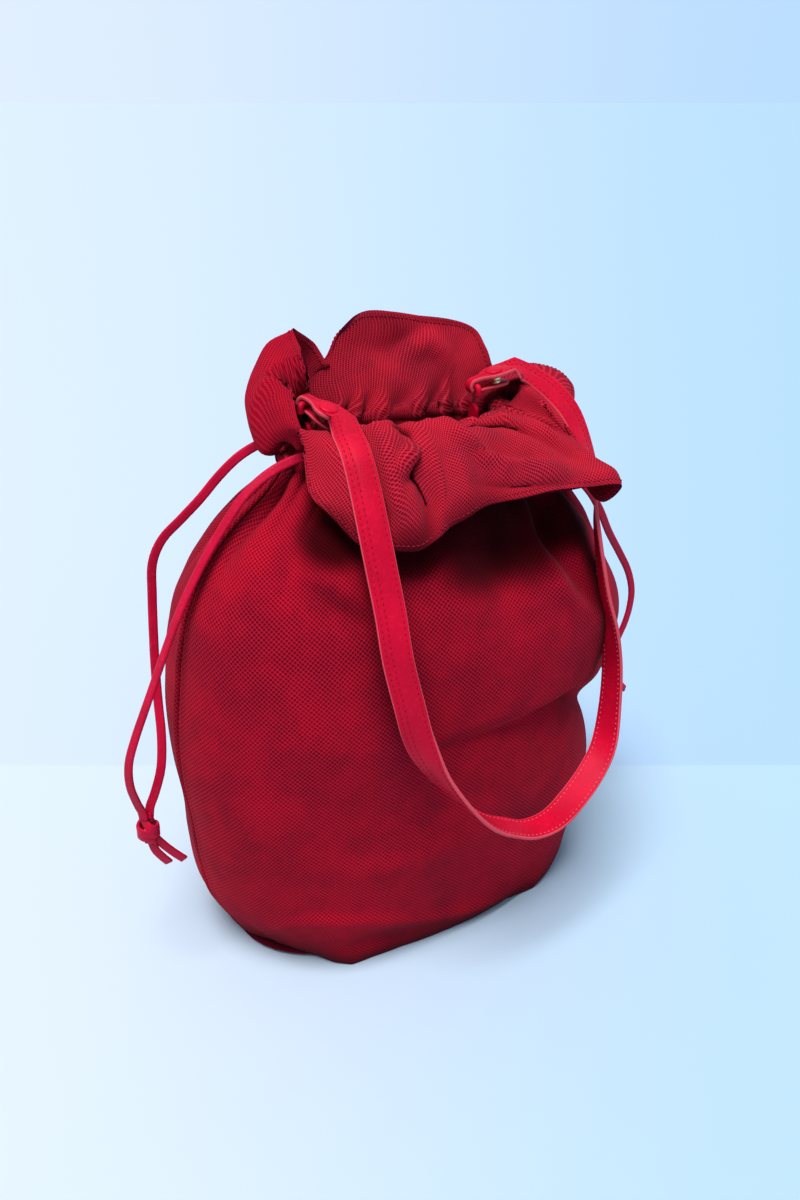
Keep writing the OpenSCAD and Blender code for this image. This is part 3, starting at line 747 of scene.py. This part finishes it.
def body_grid(angles):
    """Outer face of the body, as rows going up."""
    zs = WALL_Z
    a = np.interp(zs, PROFILE[:, 0], PROFILE[:, 1])
    b = np.interp(zs, PROFILE[:, 0], PROFILE[:, 2])
    kernel = bell(np.linspace(-1.6, 1.6, 9))
    kernel /= kernel.sum()

    def soften(v):
        ext = np.concatenate([2 * v[0] - v[4:0:-1], v, 2 * v[-1] - v[-2:-6:-1]])
        return np.convolve(ext, kernel, "valid")

    a, b = soften(a), soften(b)
    x, y = oval(angles[None, :], a[:, None], b[:, None])
    z = np.repeat(zs[:, None], len(angles), 1)
    p = np.stack([x, y, z], -1)
    polar = np.degrees(np.arctan2(y, x)) % 360
    flat = unit(np.stack([x / a[:, None] ** 2, y / b[:, None] ** 2, 0 * x], -1))
    out = table(polar, BASE_OUT, 360) * np.exp(-z / 38)
    # the right side sags over a fold, and is slack below it
    cut = table(polar, SLUMP, 360)
    turn = (polar + 180) % 360 - 180
    side = smooth_step(turn, -46, -14)
    fold = 177 - 41 * side
    over = 6 + 16 * side
    below = np.exp(-np.maximum(fold - z, 0) / (46 - 14 * side))
    below = np.where(z < fold, below, bell((z - fold) / over))
    out += 10.5 * bell((z - 222) / 34) * bell((turn + 12) / 40)
    out += 4.0 * bell((z - 52) / 38) * (bell((turn - 174) / 32) + bell((turn + 186) / 32))
    p += flat * (out - cut * below)[..., None]
    # slow unevenness of soft cloth
    wave = (1.5 * np.sin(x / 41 + z / 57 + 0.6) * np.sin(y / 37 - z / 71 + 1.9)
            + 0.9 * np.sin(x / 23 - z / 31 + y / 29 + 2.2) + 0.5 * np.sin(z / 17 + x / 19))
    quiet = smooth_step(z, 4, 40) * (1 - smooth_step(z, 320, 345))
    p += flat * (wave * quiet)[..., None]
    n = grid_normals(p, False)
    lift = np.zeros(z.shape)
    for path, amount, width in STROKES:
        lift += stroke(p, path, amount, width)
    shy = 1 - 0.45 * bell((turn + 150) / 26)
    broad = smooth_step(z, 262, 338) * (1 - smooth_step(z, 336, 350))
    lift += 3.4 * shy * pleats(angles, True)[None, :] * broad
    fine = gathers(angles)
    lift += shy * fine[None, :] * smooth_step(z, 300, 348)
    top = smooth_step(z, 343, 350)
    lift = lift * (1 - top) + fine[None, :] * top + stroke(p, *PUFF, fade=False)
    return p + n * lift[..., None]


def even_out(a, width, axis, wrap=False):
    """Running mean of a grid along one axis, twice over."""
    for _ in range(2):
        a = np.moveaxis(a, axis, 0)
        if wrap:
            before, after = a[-width - 1:-1], a[1:width + 1]
        else:
            before, after = a[:1].repeat(width, 0), a[-1:].repeat(width, 0)
        ext = np.concatenate([before, a, after])
        total = np.cumsum(np.concatenate([0 * ext[:1], ext]), axis=0)
        a = np.moveaxis((total[2 * width + 1:] - total[:-2 * width - 1]) / (2 * width + 1), 0, axis)
    return a


def two_layers(name, p, q, u, v, closed, materials):
    """Closed cloth with grid p outside and q inside, and materials for outside, inside and edge.

    u and v are its cloth coordinates. Where the grid closes round, they have one column more.
    """
    kinds = list(dict.fromkeys(materials))
    outside, inside, edge = [kinds.index(m) for m in materials]
    rows, cols = p.shape[:2]
    top, last = rows - 1, cols - 1
    faces, uvs, slots = [], [], []

    def quad(slot, *corners):
        faces.append(tuple((layer * rows + r) * cols + c % cols for r, c, layer in corners))
        uvs.extend((u[r, c], v[r, c]) for r, c, _ in corners)
        slots.append(slot)

    for c in range(cols if closed else last):
        for r in range(top):
            quad(outside, (r, c, 0), (r, c + 1, 0), (r + 1, c + 1, 0), (r + 1, c, 0))
            quad(inside, (r + 1, c, 1), (r + 1, c + 1, 1), (r, c + 1, 1), (r, c, 1))
        quad(edge, (0, c, 0), (0, c, 1), (0, c + 1, 1), (0, c + 1, 0))
        quad(edge, (top, c + 1, 0), (top, c + 1, 1), (top, c, 1), (top, c, 0))
    for r in range(0 if closed else top):
        quad(edge, (r, 0, 0), (r + 1, 0, 0), (r + 1, 0, 1), (r, 0, 1))
        quad(edge, (r, last, 0), (r, last, 1), (r + 1, last, 1), (r + 1, last, 0))
    ob = make_object(name, np.concatenate([p.reshape(-1, 3), q.reshape(-1, 3)]), faces, uvs, slots)
    give(ob, *kinds)
    return ob


def wall(name, p, thick, material, rim, seam):
    """Sheet of cloth with grid p outside. Its two side edges turn in by seam millimetres."""
    n = grid_normals(p, False)
    u = lengths(p[len(p) // 2])
    for end in (0, -1):
        d = np.abs(u - u[end])
        p = p - n * (seam * (bell(d / 1.7) - 0.35 * bell((d - 4.5) / 2.2)))[None, :, None]
    each = np.array([lengths(row) for row in p])
    half = p.shape[1] // 2
    u = 0.5 * (u - u[half]) + 0.5 * (each - each[:, half:half + 1])
    v = even_out(np.array([lengths(p[:, c]) for c in range(p.shape[1])]).T, 9, 1)
    return two_layers(name, p, p - n * thick, u, v, False, (material, material, rim))


LEFT_SEAM, RIGHT_SEAM = math.radians(184.0), math.radians(358.0)
WALL_Z = np.concatenate([
    np.linspace(0.8, 12, 7)[:-1], np.linspace(12, 260, 84)[:-1], np.linspace(260, 350, 46)])
# Cloth thicknesses, how far in the lining lies, and the row that it starts at
WALL_T, BASE_T, LINING_T, LINING_IN, LINING_ROW = 1.4, 1.5, 0.5, 2.4, 6

front_p = press_under(body_grid(np.linspace(LEFT_SEAM, RIGHT_SEAM, 200)), 1.6)
back_p = body_grid(np.linspace(RIGHT_SEAM - 2 * math.pi, LEFT_SEAM, 200))
for which, p, seam in (("front", front_p, 2.0), ("back", back_p, 2.6)):
    place(wall(f"body_{which}", p, WALL_T, SUEDE, EDGE, seam), "bag", "suede", f"{which}_panel")
for which, p in (("front", front_p), ("back", back_p)):
    inner = (p - LINING_IN * grid_normals(p, False))[LINING_ROW:]
    place(wall(f"lining_{which}", inner, LINING_T, LINING, LINING, 0.0), "bag", "lining", f"{which}_lining")


def base_plate():
    """Flat suede base inside the foot of the walls, as one closed plate."""
    ring = np.concatenate([front_p[0][:-1], back_p[0][:-1]])[:, :2]
    fractions = [0.992, 0.9, 0.7, 0.45, 0.2]
    m = len(ring)
    middle = len(fractions) * m
    layer = []
    for c in range(m):
        e = (c + 1) % m
        layer += [(r + c, r + e, r + m + e, r + m + c) for r in range(0, middle - m, m)]
        layer.append((middle - m + c, middle - m + e, middle))
    verts, faces = [], []
    for z, turn in ((0.0, -1), (BASE_T, 1)):
        faces += [tuple(len(verts) + i for i in face)[::turn] for face in layer]
        for f in fractions:
            verts += [(x * f, y * f, z) for x, y in ring]
        verts.append((0, 0, z))
    for c in range(m):
        e = (c + 1) % m
        faces.append((c, e, middle + 1 + e, middle + 1 + c))
    ob = make_object("base_suede", verts, faces, [verts[i][:2] for face in faces for i in face])
    give(ob, SUEDE)
    return ob


place(base_plate(), "bag", "suede", "base_panel")


# ---- collar

# One line for each way up the collar: angle round the neck, then x, y, z of five places from neck to hem
COLLAR = np.array([
    (0, 88, 0, 379, 102, 0, 379, 118, 2, 374, 133, 4, 369, 144, 5, 364),
    (8, 86, 8, 375, 100, 12, 378, 118, 14, 379, 134, 16, 378, 145, 15, 372),
    (15, 84, 13, 372, 96, 18, 377, 110, 22, 381, 124, 24, 382, 136, 23, 379),
    (23, 78, 18, 370, 86, 22, 375, 96, 25, 379, 106, 27, 382, 116, 27, 383),
    (33, 70, 21, 370, 76, 24, 374, 83, 25, 378, 88, 25, 381, 92, 24, 383),
    (42, 62, 25, 374, 70, 30, 384, 78, 33, 392, 84, 33, 396, 88, 31, 397),
    (52, 54, 30, 376, 62, 36, 390, 72, 40, 402, 79, 41, 408, 83, 40, 410),
    (63, 46, 31, 377, 54, 38, 392, 61, 43, 405, 65, 46, 413, 67, 46, 417),
    (76, 30, 33, 378, 34, 40, 392, 38, 46, 406, 39, 49, 417, 39, 50, 422),
    (88, 8, 34, 378, 10, 42, 393, 13, 48, 408, 14, 51, 420, 14, 52, 427),
    (100, -8, 34, 378, -8, 41, 392, -6, 48, 407, -3, 51, 420, 0, 52, 426),
    (112, -20, 33, 376, -22, 40, 390, -21, 46, 404, -18, 49, 414, -15, 48, 419),
    (124, -32, 32, 374, -34, 38, 386, -32, 43, 397, -27, 45, 404, -23, 44, 408),
    (134, -42, 30, 372, -46, 36, 382, -43, 41, 390, -35, 42, 396, -28, 41, 399),
    (143, -52, 27, 372, -58, 35, 384, -57, 41, 396, -47, 44, 406, -37, 44, 413),
    (152, -62, 23, 372, -71, 32, 386, -73, 37, 402, -63, 39, 416, -50, 39, 423),
    (160, -70, 17, 372, -82, 26, 385, -84, 31, 401, -72, 34, 417, -55, 34, 426),
    (168, -76, 12, 370, -88, 19, 380, -89, 24, 396, -75, 27, 413, -56, 25, 420),
    (176, -80, 6, 366, -91, 12, 372, -93, 16, 387, -81, 17, 405, -58, 15, 416),
    (184, -82, 1, 362, -93, 5, 362, -96, 8, 378, -87, 8, 401, -64, 5, 408),
    (190, -82, -4, 366, -89, -2, 366, -92, 0, 376, -86, 1, 393, -71, -4, 397),
    (196, -79, -10, 370, -83, -11, 373, -85, -11, 378, -82, -12, 386, -76, -14, 388),
    (203, -73, -18, 373, -75, -21, 377, -77, -23, 379, -77, -25, 377, -76, -26, 373),
    (211, -64, -26, 376, -67, -32, 373, -71, -35, 365, -75, -36, 355, -78, -36, 347),
    (220, -56, -33, 380, -59, -43, 373, -63, -49, 360, -68, -52, 346, -72, -52, 335),
    (231, -48, -36, 381, -50, -49, 372, -53, -59, 356, -57, -66, 336, -60, -68, 319),
    (242, -40, -38, 382, -41, -52, 371, -42, -64, 354, -42, -73, 333, -43, -76, 316),
    (252, -30, -39, 382, -29, -53, 372, -29, -64, 358, -30, -75, 336, -31, -80, 315),
    (259, -20, -36, 377, -20, -46, 366, -19, -53, 354, -19, -67, 335, -21, -80, 317),
    (266, -9, -38, 376, -8, -56, 369, -9, -69, 355, -11, -77, 339, -12, -79, 322),
    (274, 4, -39, 375, 6, -53, 369, 8, -66, 358, 6, -75, 343, 3, -78, 328),
    (282, 15, -39, 373, 17, -50, 368, 20, -58, 357, 20, -72, 345, 17, -79, 333),
    (290, 29, -37, 372, 30, -51, 366, 30, -61, 352, 30, -74, 344, 29, -80, 334),
    (299, 43, -35, 371, 45, -50, 362, 42, -64, 347, 44, -76, 343, 43, -81, 334),
    (309, 59, -36, 370, 60, -50, 360, 57, -65, 346, 58, -77, 343, 58, -83, 335),
    (319, 75, -38, 366, 77, -53, 357, 74, -68, 345, 74, -79, 342, 73, -85, 335),
    (329, 89, -42, 359, 91, -57, 350, 90, -72, 343, 90, -83, 341, 90, -87, 335),
    (337, 98, -42, 354, 103, -58, 348, 106, -72, 343, 110, -84, 340, 110, -91, 333),
    (344, 98, -32, 360, 105, -46, 352, 109, -60, 342, 108, -74, 330, 105, -80, 320),
    (351, 90, -20, 376, 98, -28, 370, 105, -38, 358, 108, -47, 342, 107, -54, 330),
    (356, 88, -10, 381, 99, -14, 377, 108, -20, 368, 115, -24, 355, 119, -26, 345),
], float)
COL_STEPS, ROW_STEPS = 9, 7


def collar_grid():
    """Rows from the bottom of the casing to the hem, columns anticlockwise from +X, closed."""
    angles = np.radians([*COLLAR[:, 0], 360])
    fine_angles = np.concatenate([
        a + (b - a) * np.arange(COL_STEPS) / COL_STEPS for a, b in zip(angles, angles[1:])])
    outer = [catmull(COLLAR[:, k:k + 3], COL_STEPS, closed=True) for k in range(1, 16, 3)]
    low = [neck_shape(fine_angles, CASING_Z + h) for h in (0, 4.7, 9.3, CASING_H)]
    return catmull(np.array(low + outer), ROW_STEPS), fine_angles


collar_p, collar_angles = collar_grid()
# the curl at the right of the left petal is soft, not creased
soft = bell((np.degrees(collar_angles) - 191) / 11)[None, :, None]
collar_p = collar_p + 0.85 * soft * (even_out(collar_p, 4, 1, True) - collar_p)
# how far up each row lies, with 0 at the casing's top and 1 at the hem
share = np.clip((np.arange(len(collar_p)) / ROW_STEPS - 3) / 5, 0, 1)
n = grid_normals(collar_p, True)
lift = pleats(collar_angles, False)[None, :] * (bell((share - 0.08) / 0.2) * 1.8)[:, None]
lift[share <= 0] = 0
COLLAR_STROKES = [
    # ear-shaped pleat beside the strap, its slit, and the deep crease right of it
    ([(-31, -43, 381), (-23, -39, 377), (-18, -43, 370), (-18, -50, 363), (-23, -57, 356),
      (-33, -66, 352)], 5.5, 4.5),
    ([(-22, -44, 371), (-23, -49, 366), (-28, -58, 364), (-33, -63, 359)], -9.0, 3.2),
    ([(-38, -43, 378), (-43, -50, 366), (-45, -60, 352), (-45, -71, 336)], 4.5, 6.0),
    ([(-34, -51, 374), (-39, -57, 364), (-39, -68, 349), (-38, -75, 334)], -5.0, 5.0),
    ([(-12, -35, 371), (-14, -51, 363), (-16, -58, 349), (-18, -65, 338)], -11.0, 4.5),
    ([(-3, -54, 371), (-4, -67, 360), (-6, -75, 346), (-9, -76, 332)], 6.5, 9.0),
    # fold that runs from the mouth along the right of the flap, and the crest above it
    ([(12, -37, 374), (13, -49, 369), (19, -54, 362), (26, -61, 353), (35, -66, 347), (54, -69, 345),
      (74, -75, 344)], -10.0, 6.0),
    ([(21, -41, 371), (40, -37, 371), (56, -38, 370), (72, -46, 363), (85, -54, 354),
      (98, -66, 345)], 7.5, 7.0),
    ([(12, -73, 346), (30, -76, 343), (53, -80, 341), (81, -84, 338)], 4.0, 5.0),
    ([(34, -32, 373), (46, -33, 371), (57, -34, 369), (67, -37, 366)], -6.0, 3.0),
    # back petal: soft crossing fold
    ([(30, 42, 400), (48, 44, 404), (56, 42, 394), (58, 36, 380)], -5.5, 7.0),
    ([(0, 46, 404), (20, 46, 400), (44, 46, 410)], 4.0, 9.0),
    # left petal
    ([(-88, 14, 372), (-92, 18, 390), (-82, 20, 410)], 2.5, 9.0),
]
for path, amount, width in COLLAR_STROKES:
    lift = lift + stroke(collar_p, path, amount, width)
lift = lift + stroke(collar_p, *PUFF, fade=False)
x, y, z = np.moveaxis(collar_p, -1, 0)
lift = lift + (0.8 * np.sin(x / 9 + z / 13) * np.sin(y / 8 - z / 11 + 1)
               + 0.5 * np.sin(x / 5.5 - y / 7 + z / 6)) * share[:, None]
collar_p = press_under(collar_p + n * lift[..., None], 1.2)

# the collar's pin holes lie closer together than the body's, by this much
COLLAR_GRID = 1.35


def collar_cloth():
    """Cloth coordinates of the collar's grid: distance along each row and up each column."""
    cols = collar_p.shape[1]
    loop = np.concatenate([collar_p, collar_p[:, :1]], axis=1)
    u = np.array([lengths(row) for row in loop])
    anchor = int(np.argmin(np.abs(collar_angles - math.radians(270))))
    u = u - u[:, anchor:anchor + 1]
    even = u[int(6.6 * ROW_STEPS)]
    u = COLLAR_GRID * even_out(0.5 * u + 0.5 * even, 7, 0)
    v = COLLAR_GRID * even_out(np.array([lengths(loop[:, c]) for c in range(cols + 1)]).T, 14, 1, True)
    return u, v


def collar_mesh():
    """Two layers of suede sewn together: outside from the casing up, inside back down again."""
    thick = np.where(share > 0, 2.6 + 2.8 * bell(share / 0.12), 5.4)
    thick = np.where(share > 0.97, 2.2, thick)
    q = collar_p - grid_normals(collar_p, True) * thick[:, None, None]
    u, v = collar_cloth()
    return two_layers("collar", collar_p, q, u, v, True, (SUEDE, SUEDE_IN, EDGE)), q


collar, collar_q = collar_mesh()
place(collar, "bag", "suede_facing", "front_collar", "back_collar", "front_collar_facing",
      "back_collar_facing")

# Cords where they run inside the casing
CASING_GAP, CASING_IN = 0.30, 3.4
for side, z, open_at in (("left", 360.4, math.pi), ("right", 353.6, 0.0)):
    a = np.linspace(open_at + CASING_GAP, open_at + 2 * math.pi - CASING_GAP, 150)
    pts = neck_shape(a, np.full(a.shape, z))
    out = unit(np.stack([pts[:, 0] / NECK_A ** 2, pts[:, 1] / NECK_B ** 2, 0 * a], -1))
    ob = swept(f"{side}_lace_casing", pts - CASING_IN * out, out, lambda i: [
        (-2.7, 0), (-2.3, 0.9), (2.3, 0.9), (2.7, 0), (2.3, -0.9), (-2.3, -0.9)])
    give(ob, CORD)
    place(ob, "bag", "cord_leather", f"{side}_cord_run")


# ---- stitches

STITCH_RINGS = [(-1.0, 0.25), (-0.55, 0.95), (0.55, 0.95), (1.0, 0.25)]


def stitches(name, runs, material, size, pitch):
    """Rows of thread lying on a surface. Each run is (points, outward directions)."""
    half, fat = size[0] / 2, size[1] / 2
    sides = 6
    verts, faces = [], []
    for pts, outs in runs:
        s = lengths(pts)
        count = int(s[-1] // pitch)
        for j in range(count):
            d = (j + 0.5) * s[-1] / count
            c = at_length(d, s, pts)
            t = unit(at_length(d + 0.6, s, pts) - at_length(d - 0.6, s, pts))
            o = square_to(at_length(d, s, outs), t)
            w = np.cross(t, o)
            base = len(verts)
            for f, r in STITCH_RINGS:
                sink = 0.55 * fat * abs(f) ** 3
                for k in range(sides):
                    a = 2 * math.pi * k / sides
                    up = math.sin(a) * fat * r * 0.8 - sink
                    verts.append(c + t * f * half + w * math.cos(a) * fat * r + o * up)
            end = base + (len(STITCH_RINGS) - 1) * sides
            for ring in range(base, end, sides):
                for k in range(sides):
                    a, b = ring + k, ring + (k + 1) % sides
                    faces.append((a, b, b + sides, a + sides))
            faces.append(tuple(range(base, base + sides))[::-1])
            faces.append(tuple(range(end, end + sides)))
    ob = make_object(name, verts, faces)
    give(ob, material)
    return ob


HEM_BACK = 3.4
hem_out = grid_normals(collar_p, True)[-3]


def hem_run(grid, sign):
    """Closed line on one face of the collar, HEM_BACK millimetres back from the hem."""
    line = np.array([at_length(HEM_BACK, lengths(col), col) for col in grid[::-1].swapaxes(0, 1)])
    out = sign * np.vstack([hem_out, hem_out[:1]])
    return np.vstack([line, line[:1]]) + 0.25 * out, out


hem_thread = stitches("collar_hem_thread", [hem_run(collar_q, -1), hem_run(collar_p, 1)],
                      THREAD_SUEDE, (2.3, 0.8), 3.1)
place(hem_thread, "bag", "suede_facing")


def strap_profile(i):
    """Section of the strap: grooves under the stitch rows, eased cut edges."""
    w = sw[i]
    k = np.clip((w - 3.5) / 6, 0, 1)
    top = [(-w + 0.5, 1.32), (-w + 1.2, 1.42), (-w + 2.6, 1.42 - 0.28 * k), (-w + 4.0, 1.5), (0, 1.55),
           (w - 4.0 - 4 * k, 1.5), (w - 3.0 - 3.4 * k, 1.5 - 0.28 * k), (w - 2.4 - 2.4 * k, 1.46),
           (w - 1.6 - 1.2 * k, 1.44 - 0.28 * k), (w - 1.1, 1.42), (w - 0.5, 1.32)]
    edge = [(w - 0.1, 1.0), (w, 0.4), (w, -0.5), (w - 0.15, -0.95)]
    under = [(w - 0.6, -1.18), (w - 2.6, -1.2 + 0.2 * k), (0, -1.25), (-w + 2.6, -1.2 + 0.2 * k),
             (-w + 0.6, -1.18)]
    return top + edge + under + [(-w + 0.15, -0.95), (-w, -0.5), (-w, 0.4), (-w + 0.1, 1.0)]


strap = swept("strap", sp, sn, strap_profile, edge_faces=(10, 11, 12, 13, 14, 19, 20, 21, 22, 23))
give(strap, STRAP, STRAP_EDGE)
place(strap, "strap", "leather", "strap_outer", "strap_backing")


def strap_line(side, height, ends):
    """Row on the strap, side mm from its middle, that stops so many mm short of both ends."""
    s = lengths(sp)
    keep = (s > ends) & (s < s[-1] - ends)
    edge = math.copysign(1, side) * (sw - STRAP_W / 2 + abs(side))
    pts = sp + STRAP_SIDE * edge[:, None] + STRAP_N * height
    return pts[keep], math.copysign(1, height) * STRAP_N[keep]


rows_top = [strap_line(-6.9, 1.2, 14), strap_line(6.6, 1.2, 14), strap_line(3.2, 1.28, 30)]
rows_under = [strap_line(-6.9, -1.08, 30), strap_line(6.9, -1.08, 30)]
place(stitches("strap_thread_top", rows_top, THREAD, (2.6, 0.85), 3.7), "strap", "leather")
place(stitches("strap_thread_under", rows_under, THREAD_PALE, (1.5, 0.8), 3.7), "strap", "leather")

# Folded-back strap ends: distance along, half width
TAB = [(0, 3.4), (3, 3.4), (6, 3.9), (9, 4.9), (12, 5.7), (15, 6.0), (18, 6.0), (20.5, 5.7), (22.5, 4.9),
       (24, 3.6), (24.8, 2.2)]


def tab_profile(i):
    w = TAB[i][1]
    return [(-w + 0.4, 1.0), (0, 1.1), (w - 0.4, 1.0), (w, 0.5), (w, -0.5), (w - 0.4, -1.0), (0, -1.1),
            (-w + 0.4, -1.0), (-w, -0.5), (-w, 0.5)]


for side, end in (("left", LEFT_END), ("right", RIGHT_END)):
    at, h, n = end_axes(end)
    path = []
    for d, _ in TAB:
        droop = 0.006 * max(d - 8, 0) ** 2
        path.append(at - (FOLD_R + 1.1 + droop) * n + d * h)
    tab = swept(f"{side}_strap_tail", np.array(path), np.tile(n, (len(path), 1)), tab_profile,
                edge_faces=(2, 3, 4, 7, 8, 9))
    give(tab, STRAP, STRAP_EDGE)
    place(tab, f"{side}_tab", "leather", f"{side}_strap_tab")


# ---- CAD nodes that keep their shape

def dress(node, material):
    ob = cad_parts[node]
    ob.data.materials.clear()
    ob.data.materials.append(material)


for side in ("left", "right"):
    for part, material in (("anchor_root", STRAP), ("anchor_loop", STRAP), ("snap_cap", STRAP),
                           ("snap_socket", BRASS), ("snap_stud", BRASS)):
        dress(f"{side}_{part}", material)
dress("base_board", BOARD)
dress("base_lining", LINING)
